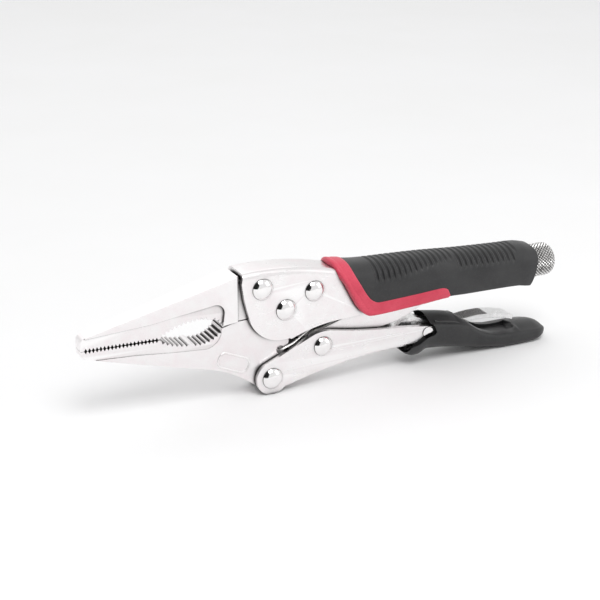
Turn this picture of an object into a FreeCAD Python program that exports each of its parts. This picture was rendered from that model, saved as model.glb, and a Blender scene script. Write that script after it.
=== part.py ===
"""Long-nose locking pliers, nine inches long, closed and locked.

Frame: X runs along the tool from the jaw tips (-X) to the adjusting knob (+X), Z is up, and the
mid plane of the tool is Y = 0.  The origin lies under the middle of the length, on the surface
that the pivot boss and the lower grip stand on.  Lengths are millimetres.
"""
import FreeCAD, Part
import math
import os
import Sketcher

# ---------------------------------------------------------------- driving dimensions
SIZES = {
    # pivots and rivets, in the mid plane
    "jaw_pivot_x": -24.4, "jaw_pivot_z": 37.2,
    "lever_pivot_x": -30.8, "lever_pivot_z": 7.2,
    "toggle_pivot_x": -7.0, "toggle_pivot_z": 17.6,
    "release_pivot_x": 44.8, "release_pivot_z": 14.5,
    "front_rivet_x": -35.0, "front_rivet_z": 48.0,
    "rear_rivet_x": -11.1, "rear_rivet_z": 43.4,
    "shank_radius": 2.5, "head_radius": 4.45, "head_rise": 2.1,
    "release_pin_radius": 1.9, "running_gap": 0.05, "link_gap": 4.0,
    # folded sheet of the body and of the lever
    "channel_width": 15.2, "channel_inside": 10.6, "sheet_thickness": 2.1,
    # jaws
    "tip_x": -112.5, "bite_z": 32.8, "nose_drop": 4.0, "tip_width": 6.4,
    "jaw_width": 10.4, "flank_width": 12.4, "relief_depth": 0.3,
    "eye_front_x": -80.0, "eye_rear_x": -52.2,
    # screw and knob
    "screw_z": 36.4, "screw_radius": 4.0, "screw_tip_x": 58.8, "tube_radius": 5.8,
    "tube_front_x": 72.0, "tube_rear_x": 96.0, "knob_radius": 7.7, "knob_front_x": 98.0,
    "knob_rear_x": 112.5,
    # spring
    "spring_hole_x": -26.1, "spring_hole_z": 18.7, "spring_hole_radius": 1.8,
    "spring_anchor_x": 24.0, "spring_anchor_z": 36.3,
    "spring_wire_radius": 0.5, "spring_coil_radius": 2.4,
    # grips
    "grip_width": 22.0, "collar_width": 22.8, "lower_grip_width": 19.0, "grip_slot": 9.0,
}

FINE_PITCH = 1.55
FINE_DEPTH = 1.1
COARSE_PITCH = 2.0
COARSE_DEPTH = 1.0
RIDGE_BEND = 2.6
FOLD_BEND = 1.2
COLLAR_SOFTNESS = 1.2
GRIP_SOFTNESS = 4.0
BODY_PLANES = {"side": "XZ_Plane", "plan": "XY_Plane", "cross": "YZ_Plane"}


class Size:
    """A length with its number and the sheet formula that gives it."""

    def __init__(self, value, text):
        self.value = value
        self.text = text

    def joined(self, sign, other):
        other = as_size(other)
        value = self.value + other.value if sign == "+" else self.value - other.value
        return Size(value, f"({self.text} {sign} {other.text})")

    def __add__(self, other):
        return self.joined("+", other)

    def __sub__(self, other):
        return self.joined("-", other)

    def __mul__(self, factor):
        return Size(self.value * factor, f"({self.text} * {factor})")

    def __neg__(self):
        return self * -1


def as_size(value):
    """A plain number becomes a constant of the sheet's formulas."""
    if isinstance(value, Size):
        return value
    return Size(value, f"({value})")


class Sizes:
    """The driving dimensions, each reachable by its name."""


def write_sheet(doc):
    """Put every driving dimension in the spreadsheet and return them as formulas."""
    sheet = doc.addObject("Spreadsheet::Sheet", "Sheet")
    sizes = Sizes()
    for row, (name, value) in enumerate(SIZES.items(), start=1):
        sheet.set(f"A{row}", name)
        sheet.set(f"B{row}", str(value))
        sheet.setAlias(f"B{row}", name)
        setattr(sizes, name, Size(value, f"Sheet.{name}"))
    doc.recompute()
    return sizes


# ---------------------------------------------------------------- sketches and features
def new_body(doc, name):
    body = doc.addObject("PartDesign::Body", name)
    body.Label = name
    return body


def new_sketch(body, view, name, offset=None):
    """A sketch on one of the body's own planes, moved along the plane's normal by offset."""
    role = BODY_PLANES[view]
    plane = next(item for item in body.Origin.OriginFeatures if item.Role == role)
    sketch = body.newObject("Sketcher::SketchObject", name)
    sketch.AttachmentSupport = [(plane, "")]
    sketch.MapMode = "FlatFace"
    if offset is not None:
        sketch.setExpression("AttachmentOffset.Base.z", as_size(offset).text)
    return sketch


def bind(sketch, kind, geometry, point, size):
    """Hold one coordinate of a sketch point at a size of the sheet."""
    constraint = Sketcher.Constraint(kind, -1, 1, geometry, point, size.value)
    index = sketch.addConstraint(constraint)
    sketch.setExpression(f"Constraints[{index}]", size.text)


def flat(point):
    return FreeCAD.Vector(point[0].value, point[1].value, 0)


def draw_outline(sketch, path):
    """Draw a closed outline.

    Each step of the path is (x, z) for a straight run or (via_x, via_z, x, z) for an arc.
    """
    steps = [tuple(as_size(value) for value in step) for step in path]
    first = sketch.GeometryCount
    corners = [step[-2:] for step in steps]
    count = len(steps)
    for index in range(count):
        start = flat(corners[index])
        step = steps[(index + 1) % count]
        end = flat(step[-2:])
        if len(step) == 4:
            sketch.addGeometry(Part.Arc(start, flat(step[:2]), end))
        else:
            sketch.addGeometry(Part.LineSegment(start, end))
    ends = [run_ends(sketch, first + index, flat(corners[index])) for index in range(count)]
    for index in range(count):
        here = first + index
        after = first + (index + 1) % count
        finish = ends[index][1]
        begin = ends[(index + 1) % count][0]
        sketch.addConstraint(Sketcher.Constraint("Coincident", here, finish, after, begin))
        bind(sketch, "DistanceX", here, ends[index][0], corners[index][0])
        bind(sketch, "DistanceY", here, ends[index][0], corners[index][1])
        if isinstance(sketch.Geometry[here], Part.ArcOfCircle):
            radius = sketch.Geometry[here].Radius
            sketch.addConstraint(Sketcher.Constraint("Radius", here, radius))


def run_ends(sketch, geometry, start):
    """Which end of a run is its start in the path: an arc may be stored the other way round."""
    first = sketch.getPoint(geometry, 1).distanceToPoint(start)
    second = sketch.getPoint(geometry, 2).distanceToPoint(start)
    return (1, 2) if first < second else (2, 1)


def draw_circle(sketch, x, z, radius):
    x, z, radius = as_size(x), as_size(z), as_size(radius)
    centre = FreeCAD.Vector(x.value, z.value, 0)
    index = sketch.addGeometry(Part.Circle(centre, FreeCAD.Vector(0, 0, 1), radius.value))
    bind(sketch, "DistanceX", index, 3, x)
    bind(sketch, "DistanceY", index, 3, z)
    limit = sketch.addConstraint(Sketcher.Constraint("Radius", index, radius.value))
    sketch.setExpression(f"Constraints[{limit}]", radius.text)


def extrude(body, kind, name, sketch, length, both_ways=True, reverse=False):
    """Pad or pocket a sketch, half to each side of its plane unless told otherwise."""
    feature = body.newObject(f"PartDesign::{kind}", name)
    feature.Profile = sketch
    if both_ways:
        feature.SideType = "Symmetric"
    feature.Reversed = reverse
    feature.setExpression("Length", as_size(length).text)
    sketch.Visibility = False
    body.Document.recompute()
    return feature


def pad_outline(body, name, path, width):
    sketch = new_sketch(body, "side", name + "_outline")
    draw_outline(sketch, path)
    return extrude(body, "Pad", name, sketch, width)


def cut_outline(body, name, path, width, view="side"):
    sketch = new_sketch(body, view, name + "_outline")
    draw_outline(sketch, path)
    return extrude(body, "Pocket", name, sketch, width)


def cut_holes(body, name, holes, width=60):
    """Bore holes along Y, each given as (x, z, radius)."""
    sketch = new_sketch(body, "side", name + "_circles")
    for x, z, radius in holes:
        draw_circle(sketch, x, z, radius)
    return extrude(body, "Pocket", name, sketch, width)


def round_edges(body, name, radius, wanted):
    """Fillet the edges of the last feature for which wanted(edge) is true."""
    base = body.Tip
    names = [f"Edge{index}" for index, edge in enumerate(base.Shape.Edges, start=1) if wanted(edge)]
    fillet = body.newObject("PartDesign::Fillet", name)
    fillet.Base = (base, names)
    fillet.Radius = radius
    body.Document.recompute()
    return fillet


def edge_middle(edge):
    return edge.valueAt((edge.FirstParameter + edge.LastParameter) / 2)


def on_side_faces(half_width, test):
    """Edges that lie in the faces at Y = +-half_width and whose middle passes the test."""

    def wanted(edge):
        box = edge.BoundBox
        if box.YMax - box.YMin > 0.01:
            return False
        if abs(abs(box.YMax) - half_width) > 0.02:
            return False
        return test(edge_middle(edge))

    return wanted


# ---------------------------------------------------------------- jaws
def taper_jaw(body, name, s, tip_width, full_width, full_x):
    """Narrow the jaw in plan from its full width at full_x to the tip."""
    sketch = new_sketch(body, "plan", name + "_wedges")
    outside = 20
    ahead = s.tip_x - 2
    for side in (1, -1):
        draw_outline(sketch, [
            (ahead, as_size(tip_width) * (side / 2)),
            (full_x, as_size(full_width) * (side / 2)),
            (full_x, side * outside),
            (ahead, side * outside),
        ])
    return extrude(body, "Pocket", name, sketch, 160)


def draw_notch(sketch, x, z, out_x, out_z, pitch, depth):
    """One V between two teeth: out is the direction from the jaw into the gap."""
    along_x, along_z = -out_z, out_x
    proud = 0.15
    half = 0.46 * pitch
    left = FreeCAD.Vector(x + out_x * proud - along_x * half, z + out_z * proud - along_z * half, 0)
    right = FreeCAD.Vector(x + out_x * proud + along_x * half, z + out_z * proud + along_z * half, 0)
    root = FreeCAD.Vector(x - out_x * depth, z - out_z * depth, 0)
    for start, end in ((left, right), (right, root), (root, left)):
        sketch.addGeometry(Part.LineSegment(start, end))
    last = sketch.GeometryCount - 1
    for first, second in ((last - 2, last - 1), (last - 1, last), (last, last - 2)):
        sketch.addConstraint(Sketcher.Constraint("Coincident", first, 2, second, 1))


def notch_arc(sketch, start, via, end):
    """Notches at the coarse pitch along an arc whose centre is on the gap's side."""
    arc = Part.Arc(flat(start), flat(via), flat(end))
    edge = arc.toShape()
    centre = edge.Curve.Center
    spaces = round(edge.Length / COARSE_PITCH)
    sweep = edge.LastParameter - edge.FirstParameter
    for index in range(1, spaces):
        point = edge.valueAt(edge.FirstParameter + index / spaces * sweep)
        inward = (centre - point).normalize()
        draw_notch(sketch, point.x, point.y, inward.x, inward.y, edge.Length / spaces, COARSE_DEPTH)


def cut_teeth(body, name, s, side, arcs):
    """Fine notches along the flat bite and coarse ones round the eye; side is +1 on top."""
    sketch = new_sketch(body, "side", name + "_notches")
    count = int((s.eye_front_x.value - s.tip_x.value - 1.2) / FINE_PITCH)
    for index in range(count):
        x = s.eye_front_x.value - (index + 0.6) * FINE_PITCH
        draw_notch(sketch, x, s.bite_z.value + 0.05 * side, 0, -side, FINE_PITCH, FINE_DEPTH)
    for start, via, end in arcs:
        notch_arc(sketch, start, via, end)
    return extrude(body, "Pocket", name, sketch, 40)


def sized(*values):
    return tuple(as_size(value) for value in values)


def upper_eye(s):
    """The two arcs of the pipe-gripping eye in the upper jaw, from the rear to the front."""
    rear = sized(s.eye_rear_x, s.bite_z + 0.6)
    crown = sized(s.eye_rear_x - 5.3, s.bite_z + 4.9)
    front = sized(s.eye_front_x, s.bite_z + 0.3)
    return [
        (rear, sized(s.eye_rear_x - 1.4, s.bite_z + 3.0), crown),
        (crown, sized(s.eye_rear_x - 15.8, s.bite_z + 5.0), front),
    ]


def lower_eye(s):
    """The two arcs of the eye in the lower jaw, from the front to the rear."""
    front = sized(s.eye_front_x, s.bite_z - 0.3)
    floor = sized(s.eye_front_x + 14.0, s.bite_z - 4.1)
    rear = sized(s.eye_rear_x, s.bite_z + 0.3)
    return [
        (front, sized(s.eye_front_x + 6.5, s.bite_z - 3.0), floor),
        (floor, sized(s.eye_rear_x - 4.3, s.bite_z - 3.2), rear),
    ]


def build_upper_jaw(doc, s):
    """Fixed jaw: a toothed nose with proud flanks, and a tail held in the body by two rivets."""
    body = new_body(doc, "upper_jaw")
    eye = upper_eye(s)
    x, z = s.jaw_pivot_x, s.jaw_pivot_z
    tail_rear = s.rear_rivet_x + 5.6
    pad_outline(body, "core", [
        (s.tip_x, s.bite_z + 0.05),
        (s.tip_x, s.bite_z + 3.6),
        (s.tip_x + 0.5, s.bite_z + 4.8, s.tip_x + 2.0, s.bite_z + 5.5),
        (x - 20.6, z + 17.3),
        (x - 20.2, z + 15.6),
        (x - 2.0, z + 15.4, tail_rear, z + 12.3),
        (tail_rear, z + 2.2),
        (x + 8.2, z + 3.8),
        (x, z + 9.0, x - 8.8, z + 2.1),
        (x - 16.1, z - 1.9),
        (x - 22.1, z - 2.2),
        eye[0][0],
        eye[0][1] + eye[0][2],
        eye[1][1] + eye[1][2],
    ], s.jaw_width - s.relief_depth)
    taper_jaw(body, "core_taper", s, s.tip_width - 0.8, s.jaw_width - s.relief_depth, -75)
    pad_outline(body, "flank", [
        (s.tip_x + 1.6, s.bite_z + 5.1),
        (s.tip_x + 2.2, s.bite_z + 5.55),
        (x - 21.3, z + 17.2),
        (x - 21.3, z - 2.1),
        (s.eye_rear_x, s.bite_z + 1.5),
        (s.eye_rear_x + 0.6, s.bite_z + 6.2),
        (s.eye_rear_x - 0.8, s.bite_z + 10.4, s.eye_rear_x - 4.6, s.bite_z + 11.1),
        (s.eye_front_x - 3.0, s.bite_z + 7.2),
    ], s.flank_width)
    taper_jaw(body, "flank_taper", s, s.tip_width, s.flank_width, -55)
    cut_holes(body, "rivet_holes", [
        (s.front_rivet_x, s.front_rivet_z, s.shank_radius),
        (s.rear_rivet_x, s.rear_rivet_z, s.shank_radius),
    ])
    cut_teeth(body, "teeth", s, 1, eye)
    return body


def build_lower_jaw(doc, s):
    """Moving jaw: toothed nose, eye for the jaw pivot, foot for the lever pivot, spring hole."""
    body = new_body(doc, "lower_jaw")
    eye = lower_eye(s)
    x, z = s.jaw_pivot_x, s.jaw_pivot_z
    foot_x, foot_z = s.lever_pivot_x, s.lever_pivot_z
    underside = [
        (foot_x, foot_z - 6.8, foot_x - 5.7, foot_z - 3.7),
        (foot_x - 15.2, foot_z + 3.1, foot_x - 25.2, foot_z + 7.7),
        (s.tip_x + 2.2, s.bite_z - 3.6),
    ]
    pad_outline(body, "core", [
        (s.tip_x, s.bite_z - 0.05),
        eye[0][0],
        eye[0][1] + eye[0][2],
        eye[1][1] + eye[1][2],
        (x - 22.1, z - 2.5),
        (x - 16.1, z - 2.3),
        (x - 8.3, z + 1.4),
        (x, z + 8.5, x + 8.3, z - 1.4),
        (foot_x + 8.8, foot_z + 16.8),
        (foot_x + 8.2, foot_z + 9.0),
        (foot_x + 6.7, foot_z + 1.2),
        *underside,
        (s.tip_x + 0.5, s.bite_z - 2.6, s.tip_x, s.bite_z - 1.6),
    ], s.jaw_width - s.relief_depth)
    taper_jaw(body, "core_taper", s, s.tip_width - 0.8, s.jaw_width - s.relief_depth, -75)
    pad_outline(body, "flank", [
        (s.eye_front_x - 10.0, s.bite_z - 5.2),
        (s.eye_front_x + 20.0, s.bite_z - 7.8),
        (s.eye_rear_x - 2.6, s.bite_z - 5.6, s.eye_rear_x - 0.4, s.bite_z + 0.2),
        (x - 22.1, z - 2.5),
        (x - 16.1, z - 2.3),
        (x - 8.3, z + 1.4),
        (x, z + 8.5, x + 8.3, z - 1.4),
        (foot_x + 8.8, foot_z + 16.8),
        (foot_x + 8.2, foot_z + 9.0),
        (foot_x + 6.7, foot_z + 1.2),
        *underside[:2],
        (s.tip_x + 6.0, s.bite_z - 4.6),
    ], s.jaw_width)
    taper_jaw(body, "flank_taper", s, s.tip_width, s.jaw_width, -75)
    running = s.shank_radius + s.running_gap
    cut_holes(body, "pivot_holes", [
        (x, z, running),
        (foot_x, foot_z, running),
        (s.spring_hole_x, s.spring_hole_z, s.spring_hole_radius),
    ])
    cut_teeth(body, "teeth", s, -1, eye)
    return body


# ---------------------------------------------------------------- body
def channel_top(s, drop):
    """The ridge of the body from its front arch to its rear, lowered by drop."""
    x, z = s.jaw_pivot_x, s.jaw_pivot_z
    return [
        (x - 19.1, z + 18.4 - drop),
        (x - 0.6, z + 18.2 - drop, x + 21.4, z + 14.4 - drop),
        (x + 38.4, z + 11.6 - drop),
        (x + 102.4, z + 7.4 - drop),
    ]


def build_body_channel(doc, s):
    """Upper handle: sheet folded over into a channel, rolled round the screw at its rear."""
    body = new_body(doc, "body_channel")
    x, z = s.jaw_pivot_x, s.jaw_pivot_z
    pad_outline(body, "sheet", [
        *channel_top(s, 0),
        (x + 102.4, z - 5.7),
        (x + 84.4, z - 6.2),
        (x + 38.4, z - 8.2),
        (x + 28.4, z - 8.8),
        (x + 15.4, z - 9.9, x + 2.4, z - 13.6),
        (x + 2.0, z - 13.1),
        (x - 1.6, z - 13.2),
        (x - 11.8, z - 9.4, x - 16.8, z - 0.9),
        (x - 18.8, z + 6.8),
        (x - 20.0, z + 14.3),
    ], s.channel_width)

    def along_ridge(middle):
        return middle.z > z.value + 5 and x.value - 19 < middle.x < x.value + 102

    half = SIZES["channel_width"] / 2
    round_edges(body, "ridge_bend", RIDGE_BEND, on_side_faces(half, along_ridge))
    ahead = x - 30
    inside = channel_top(s, s.sheet_thickness)
    cut_outline(body, "inside", [
        (ahead, inside[0][1]),
        *inside[:3],
        (s.tube_front_x, z + 5.5),
        (s.tube_front_x, z - 20),
        (ahead, z - 20),
    ], s.channel_inside)
    roll = new_sketch(body, "cross", "roll_circle", s.tube_front_x - 2)
    draw_circle(roll, 0, s.screw_z, s.tube_radius)
    extrude(body, "Pad", "roll", roll, s.tube_rear_x - s.tube_front_x + 2, both_ways=False)
    bore = new_sketch(body, "cross", "bore_circle", s.tube_front_x - 4)
    draw_circle(bore, 0, s.screw_z, s.screw_radius + s.running_gap)
    extrude(body, "Pocket", "bore", bore, 60, both_ways=False, reverse=True)
    anchor_x, anchor_z = s.spring_anchor_x, s.spring_anchor_z
    pad_outline(body, "spring_lug", [
        (anchor_x - 1.7, anchor_z - 1.7, anchor_x - 2.4, anchor_z),
        (anchor_x - 2.4, anchor_z + 11.0),
        (anchor_x + 5.0, anchor_z + 10.6),
        (anchor_x + 2.4, anchor_z),
        (anchor_x + 1.7, anchor_z - 1.7, anchor_x, anchor_z - 2.4),
    ], 1.6)
    tight = s.shank_radius
    cut_holes(body, "rivet_holes", [
        (x, z, tight),
        (s.front_rivet_x, s.front_rivet_z, tight),
        (s.rear_rivet_x, s.rear_rivet_z, tight),
        (anchor_x, anchor_z, 0.9),
    ])
    return body


# ---------------------------------------------------------------- lever, link and release
def build_lower_lever(doc, s):
    """Lower handle: sheet folded up into a channel, its two ears outside the lower jaw."""
    body = new_body(doc, "lower_lever")
    x, z = s.lever_pivot_x, s.lever_pivot_z
    pad_outline(body, "sheet", [
        (x - 5.1, z - 5.1, x - 7.2, z),
        (x - 5.4, z + 4.8, x - 2.2, z + 6.86),
        (x + 17.4, z + 15.3),
        (x + 22.4, z + 16.9, x + 28.4, z + 16.7),
        (x + 42.0, z + 14.2, x + 61.0, z + 12.1),
        (x + 74.8, z + 10.3),
        (x + 97.0, z + 5.0),
        (x + 110.8, z - 1.4),
        (x + 118.8, z - 2.4),
        (x + 118.8, z - 5.0),
        (x + 78.8, z + 0.4),
        (x + 70.8, z + 2.2),
        (x + 54.0, z + 2.3, x + 40.0, z + 1.3),
        (x + 22.0, z - 1.6, x + 4.4, z - 5.7),
        (x + 2.3, z - 6.8, x, z - 7.2),
    ], s.channel_width)

    def along_underside(middle):
        return x.value + 5 < middle.x < x.value + 118 and middle.z < z.value + 3

    half = SIZES["channel_width"] / 2
    round_edges(body, "fold_bend", FOLD_BEND, on_side_faces(half, along_underside))
    inner = s.sheet_thickness
    cut_outline(body, "inside", [
        (x + 118.8 - 4.0, z + 20),
        (x + 118.8 - 4.0, z - 4.5 + inner),
        (x + 78.8, z + 0.4 + inner),
        (x + 70.8, z + 2.2 + inner),
        (x + 54.0, z + 2.3 + inner, x + 40.0, z + 1.3 + inner),
        (x + 24.0, z - 1.2 + inner, x + 10.0, z - 4.4 + inner),
        (x + 8.0, z - 10),
        (x - 12.0, z - 10),
        (x - 12.0, z + 20),
    ], s.channel_inside)
    cut_holes(body, "rivet_holes", [
        (x, z, s.shank_radius),
        (s.toggle_pivot_x, s.toggle_pivot_z, s.shank_radius),
        (s.release_pivot_x, s.release_pivot_z, s.release_pin_radius),
    ])
    return body


def build_toggle_link(doc, s):
    """Link folded from sheet: forked round the spring, its nose facing the screw's tip."""
    body = new_body(doc, "toggle_link")
    x, z = s.toggle_pivot_x, s.toggle_pivot_z
    nose_x, nose_z = s.screw_tip_x - s.link_gap, s.screw_z
    pad_outline(body, "blank", [
        (x - 4.5, z - 4.6, x - 6.4, z),
        (x - 4.5, z + 4.6, x + 0.3, z + 6.4),
        (x + 9.5, z + 9.3),
        (x + 46.0, z + 20.0),
        (nose_x - 2.6, nose_z + 3.0),
        (nose_x, nose_z, nose_x - 2.6, nose_z - 3.0),
        (x + 50.0, z + 9.4),
        (x + 40.0, z + 4.8, x + 28.0, z + 2.4),
        (x + 2.0, z - 6.1),
    ], 9.6)
    cut_outline(body, "fork", [
        (x - 12.0, z - 12.0),
        (x + 6.0, z - 12.0),
        (x + 9.0, z + 2.0),
        (x + 42.0, z + 11.5),
        (x + 42.0, z + 30.0),
        (x - 12.0, z + 30.0),
    ], 5.8)
    cut_holes(body, "pivot_hole", [(x, z, s.shank_radius + s.running_gap)])
    return body


def build_release_lever(doc, s):
    """Release lever: a nose under the link, a pivot eye and a broad thumb plate."""
    body = new_body(doc, "release_lever")
    x, z = s.release_pivot_x, s.release_pivot_z
    pad_outline(body, "nose", [
        (x - 14.6, z + 1.9),
        (x - 8.8, z + 6.2, x - 2.0, z + 5.5),
        (x + 3.6, z + 2.9),
        (x + 17.0, z - 0.1),
        (x + 17.0, z - 2.1),
        (x + 3.0, z - 2.0),
        (x, z - 2.8, x - 3.2, z - 1.8),
        (x - 12.0, z + 0.7),
    ], 6.0)
    pad_outline(body, "thumb_plate", [
        (x + 33.0, z - 0.3, x + 13.0, z - 2.0),
        (x + 13.0, z),
        (x + 33.0, z + 1.7, x + 47.0, z - 1.3),
        (x + 46.6, z - 3.3),
    ], s.grip_slot - 0.6)
    cut_holes(body, "pivot_hole", [
        (x, z, s.release_pin_radius + s.running_gap),
        (x - 4.6, z + 3.3, 1.2),
    ])
    return body


# ---------------------------------------------------------------- fasteners
def build_rivet(doc, s, name, at_x, at_z, shank, head, rise, half_grip):
    """A rivet across the tool: a shank with a domed head on each side."""
    body = new_body(doc, name)
    shank, head, rise, half_grip = sized(shank, head, rise, half_grip)
    tip = half_grip + rise
    sketch = new_sketch(body, "cross", "profile")
    flank = half_grip + 0.35
    crown = head * 0.12
    draw_outline(sketch, [
        (-tip, 0),
        (-tip, crown),
        (-(half_grip + rise * 0.78), head * 0.64, -flank, head),
        (-half_grip, head),
        (-half_grip, shank),
        (half_grip, shank),
        (half_grip, head),
        (flank, head),
        (half_grip + rise * 0.78, head * 0.64, tip, crown),
        (tip, 0),
    ])
    turned = body.newObject("PartDesign::Revolution", "turned")
    turned.Profile = sketch
    turned.ReferenceAxis = (sketch, ["H_Axis"])
    turned.Angle = 360
    sketch.Visibility = False
    body.setExpression("Placement.Base.x", at_x.text)
    body.setExpression("Placement.Base.z", at_z.text)
    return body


def build_rivets(doc, s):
    outside = s.channel_width * 0.5
    rivets = {
        "upper_jaw_front_rivet": (s.front_rivet_x, s.front_rivet_z, s.head_radius),
        "upper_jaw_rear_rivet": (s.rear_rivet_x, s.rear_rivet_z, s.head_radius - 0.1),
        "jaw_pivot_rivet": (s.jaw_pivot_x, s.jaw_pivot_z, s.head_radius),
        "lever_pivot_rivet": (s.lever_pivot_x, s.lever_pivot_z, s.head_radius),
        "toggle_rivet": (s.toggle_pivot_x, s.toggle_pivot_z, s.head_radius - 0.3),
    }
    built = []
    for name, (x, z, head) in rivets.items():
        built.append(build_rivet(doc, s, name, x, z, s.shank_radius, head, s.head_rise, outside))
    built.append(build_rivet(doc, s, "release_pin", s.release_pivot_x, s.release_pivot_z,
                             s.release_pin_radius, s.release_pin_radius + 0.6, 0.5, outside))
    return built


# ---------------------------------------------------------------- screw, knob and spring
def turned_along_x(body, name, path, s):
    """Revolve a profile of (x, height over the axis) about the screw's axis."""
    sketch = new_sketch(body, "side", name + "_profile")
    draw_outline(sketch, path)
    turned = body.newObject("PartDesign::Revolution", name)
    turned.Profile = sketch
    turned.ReferenceAxis = (sketch, ["H_Axis"])
    turned.Angle = 360
    sketch.Visibility = False
    body.setExpression("Placement.Base.z", s.screw_z.text)
    return turned


def build_adjusting_screw(doc, s):
    """Adjusting screw: a rounded tip, the threaded length and a short spigot for the knob."""
    body = new_body(doc, "adjusting_screw")
    turned_along_x(body, "rod", [
        (s.screw_tip_x, 0),
        (s.screw_tip_x + 0.6, s.screw_radius * 0.6, s.screw_tip_x + 2.4, s.screw_radius),
        (s.knob_front_x, s.screw_radius),
        (s.knob_front_x, s.screw_radius - 1.0),
        (s.knob_rear_x - 5.0, s.screw_radius - 1.0),
        (s.knob_rear_x - 5.0, 0),
    ], s)
    return body


def build_adjusting_knob(doc, s):
    """Round knob on the screw's spigot, with a bevelled front and a crowned rear face."""
    body = new_body(doc, "adjusting_knob")
    spigot = s.screw_radius - 1.0 + s.running_gap
    turned_along_x(body, "knob", [
        (s.knob_front_x, spigot),
        (s.knob_front_x, s.knob_radius - 1.0),
        (s.knob_front_x + 1.0, s.knob_radius),
        (s.knob_rear_x - 3.6, s.knob_radius),
        (s.knob_rear_x - 1.2, s.knob_radius - 1.4, s.knob_rear_x, s.knob_radius - 4.2),
        (s.knob_rear_x, 0),
        (s.knob_rear_x - 4.9, 0),
        (s.knob_rear_x - 4.9, spigot),
    ], s)
    return body


def wire_path(points, radius):
    """Round wire through the points, with a ball at each bend."""
    shape = Part.makeSphere(radius, points[0])
    for start, end in zip(points, points[1:]):
        run = end - start
        shape = shape.fuse(Part.makeCylinder(radius, run.Length, start, run))
        shape = shape.fuse(Part.makeSphere(radius, end))
    return shape


def build_return_spring(doc, s):
    """Extension spring: its long front hook enters the jaw's hole, its rear one the body's lug."""
    front = FreeCAD.Vector(s.spring_hole_x.value, 0, s.spring_hole_z.value)
    rear = FreeCAD.Vector(s.spring_anchor_x.value, 0, s.spring_anchor_z.value)
    along = (rear - front).normalize()
    across = FreeCAD.Vector(0, 1, 0)
    coil_start = front + along * 17.5
    coil_end = rear - along * 3.5
    wire = s.spring_wire_radius.value
    coil = s.spring_coil_radius.value
    jaw_side = s.jaw_width.value / 2 + wire + 0.1
    lug_side = 1.4
    front_hook = wire_path([
        front - across * 2.5,
        front - across * jaw_side,
        front - across * jaw_side + along * 6.0,
        coil_start - across * (coil - wire) + along * wire,
    ], wire)
    rear_hook = wire_path([
        coil_end - across * (coil - wire) - along * wire,
        rear - across * lug_side,
        rear + across * lug_side,
    ], wire)
    shape = Part.makeCylinder(coil, (coil_end - coil_start).Length, coil_start, along)
    spring = doc.addObject("Part::Feature", "return_spring")
    spring.Label = "return_spring"
    spring.Shape = shape.fuse(front_hook).fuse(rear_hook)
    spring.Placement = FreeCAD.Placement()
    return spring


# ---------------------------------------------------------------- grips
def cut_grip_cavity(body, s):
    """Room for the body channel, its rolled rear and the knob's front."""
    ridge = channel_top(s, 0)
    x, z = s.jaw_pivot_x, s.jaw_pivot_z
    cut_outline(body, "channel_room", [
        (x + 12.4, z + 15.9),
        (x + 21.4, z + 14.4),
        ridge[2],
        ridge[3],
        (x + 102.4, z - 5.8),
        (x + 82.4, z - 6.3),
        (x + 82.4, z - 20),
        (x + 12.4, z - 20),
    ], s.channel_width)


def build_upper_grip_base(doc, s):
    """Red soft base of the upper grip: a collar round the body and a strip along its edge."""
    body = new_body(doc, "upper_grip_base")
    x, z = s.jaw_pivot_x, s.jaw_pivot_z
    pad_outline(body, "moulding", [
        (x + 19.8, z + 15.6),
        (x + 20.4, z + 17.2, x + 22.2, z + 17.7),
        (x + 26.6, z + 17.0),
        *red_edge(s),
        (x + 60.4, z - 7.4),
        (x + 40.0, z - 8.9),
        (x + 36.0, z - 8.6, x + 33.4, z - 5.4),
    ], s.collar_width)
    half = SIZES["collar_width"] / 2
    round_edges(body, "soft_edges", COLLAR_SOFTNESS, on_side_faces(half, lambda middle: True))
    cut_grip_cavity(body, s)
    return body


def red_edge(s):
    """Where the red base meets the black cover, from the ridge down and back."""
    x, z = s.jaw_pivot_x, s.jaw_pivot_z
    return [
        (x + 27.67, z + 15.4),
        (x + 33.9, z + 6.1),
        (x + 40.0, z - 2.2),
        (x + 42.9, z - 3.0),
        (x + 68.4, z - 1.6),
        (x + 75.4, z - 1.7),
        (x + 78.6, z - 3.4, x + 77.9, z - 6.4),
    ]


def build_upper_grip_cover(doc, s):
    """Black cover of the upper grip, open at the rear for the knob."""
    body = new_body(doc, "upper_grip_cover")
    x, z = s.jaw_pivot_x, s.jaw_pivot_z
    edge = red_edge(s)
    pad_outline(body, "moulding", [
        edge[0],
        (x + 38.4, z + 14.1),
        (x + 68.4, z + 13.1),
        (x + 119.4, z + 9.9),
        (x + 127.4, z + 1.0, x + 123.9, z - 8.8),
        (x + 109.4, z - 7.6),
        (x + 84.4, z - 7.0),
        edge[6][2:],
        edge[6][:2] + edge[5],
        edge[4],
        edge[3],
        edge[2],
        edge[1],
    ], s.grip_width)

    def along_top(middle):
        return middle.z > z.value + 9 and middle.x > x.value + 30.5

    half = SIZES["grip_width"] / 2
    round_edges(body, "soft_ridge", GRIP_SOFTNESS, on_side_faces(half, along_top))
    cut_grip_cavity(body, s)
    roll = new_sketch(body, "cross", "roll_circle", s.tube_front_x)
    draw_circle(roll, 0, s.screw_z, s.tube_radius)
    extrude(body, "Pocket", "roll_room", roll, s.tube_rear_x - s.tube_front_x + 1.0,
            both_ways=False, reverse=True)
    cup = new_sketch(body, "cross", "cup_circle", s.tube_rear_x + 0.5)
    draw_circle(cup, 0, s.screw_z, s.knob_radius + 0.4)
    extrude(body, "Pocket", "knob_cup", cup, 30, both_ways=False, reverse=True)
    return body


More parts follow.
